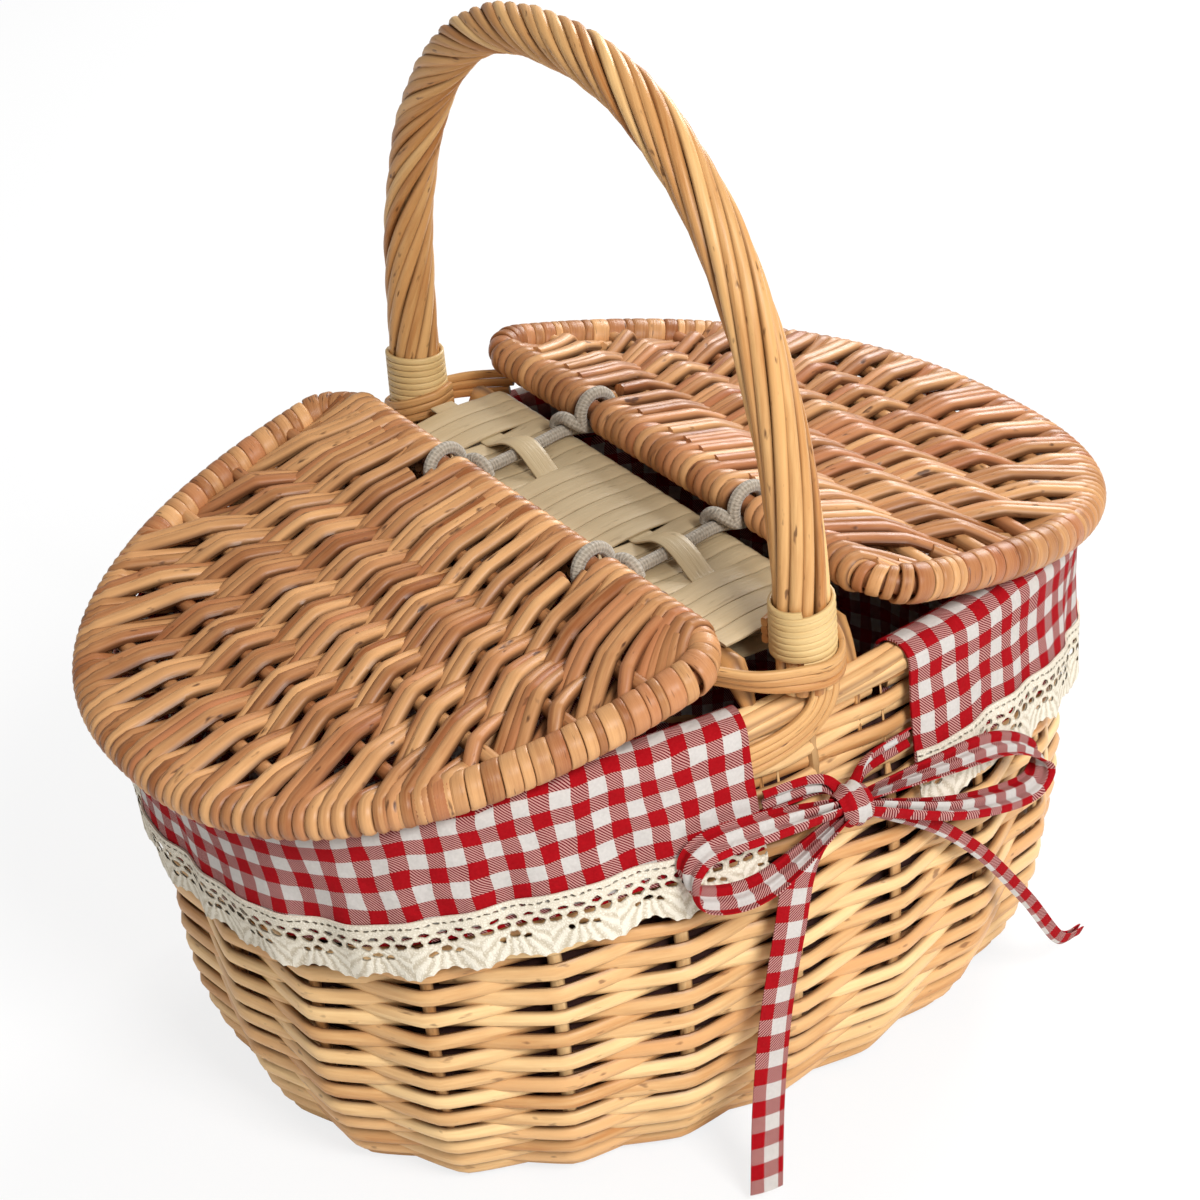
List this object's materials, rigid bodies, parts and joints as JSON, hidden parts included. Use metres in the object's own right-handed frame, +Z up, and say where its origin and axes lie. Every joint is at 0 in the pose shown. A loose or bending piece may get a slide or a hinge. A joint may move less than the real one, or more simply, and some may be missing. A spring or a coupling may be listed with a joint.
{
  "type": "picnic basket",
  "caption": "Oval woven willow picnic basket with a twisted arched handle, a wound centre bar, two hinged half lids and a gingham liner with lace and tied bows.",
  "frame": {"origin": "on the ground under the middle of the basket", "axes": "+X along the basket from the left lid to the right lid, +Y across it from the front handle foot to the back one, +Z up"},
  "size_m": [0.4048, 0.309, 0.3944],
  "materials": {
    "willow_straw": "peeled willow, golden straw, satin varnish",
    "willow_buff": "buff willow, reddish brown, satin varnish",
    "skein_cream": "split willow skein, cream, smooth",
    "cotton_cord": "braided cotton, grey beige",
    "gingham": "woven cotton, red and white checks",
    "lace": "crocheted cotton, cream"
  },
  "bodies": {
    "basket": {"base_floor": "willow_straw", "side_wall": "willow_straw", "rim_border": "willow_straw", "handle_core": "willow_straw", "handle_rod_01": "willow_straw", "handle_rod_02": "willow_straw", "handle_rod_03": "willow_straw", "handle_rod_04": "willow_straw", "handle_rod_05": "willow_straw", "handle_rod_06": "willow_straw", "handle_rod_07": "willow_straw", "handle_rod_08": "willow_straw", "handle_rod_09": "willow_straw", "handle_rod_10": "willow_straw", "handle_rod_11": "willow_straw", "foot_collar_near": "willow_straw", "foot_collar_far": "willow_straw", "foot_tails_near": "willow_straw", "foot_tails_far": "willow_straw", "bar_rod_left": "willow_straw", "bar_rod_right": "willow_straw", "handle_binding_near": "skein_cream", "handle_binding_far": "skein_cream", "bar_winding": "skein_cream", "bar_listing": "skein_cream", "hinge_cord_near": "cotton_cord", "hinge_cord_far": "cotton_cord", "liner_bag": "gingham", "liner_cuff_left": "gingham", "liner_cuff_right": "gingham", "bow_front_knot": "gingham", "bow_front_left_arm": "gingham", "bow_front_right_arm": "gingham", "bow_front_left_loop": "gingham", "bow_front_right_loop": "gingham", "bow_front_left_tail": "gingham", "bow_front_right_tail": "gingham", "bow_back_knot": "gingham", "bow_back_left_arm": "gingham", "bow_back_right_arm": "gingham", "bow_back_left_loop": "gingham", "bow_back_right_loop": "gingham", "bow_back_left_tail": "gingham", "bow_back_right_tail": "gingham", "lace_left": "lace", "lace_right": "lace"},
    "left_lid": {"left_lid_frame": "willow_buff", "left_lid_weave": "willow_buff", "left_lid_rib_1": "willow_buff", "left_lid_rib_2": "willow_buff", "left_lid_rib_3": "willow_buff", "left_lid_rib_4": "willow_buff", "left_lid_rib_5": "willow_buff"},
    "right_lid": {"right_lid_frame": "willow_buff", "right_lid_weave": "willow_buff", "right_lid_rib_1": "willow_buff", "right_lid_rib_2": "willow_buff", "right_lid_rib_3": "willow_buff", "right_lid_rib_4": "willow_buff", "right_lid_rib_5": "willow_buff"}
  },
  "joints": [
    {"name": "left_lid_hinge", "type": "hinge", "parent": "basket", "child": "left_lid", "pos_m": [-0.0341, 0, 0.211], "axis": [0, 1, 0], "range_deg": [0, 107]},
    {"name": "right_lid_hinge", "type": "hinge", "parent": "basket", "child": "right_lid", "pos_m": [0.0341, 0, 0.211], "axis": [0, -1, 0], "range_deg": [0, 107]}
  ]
}
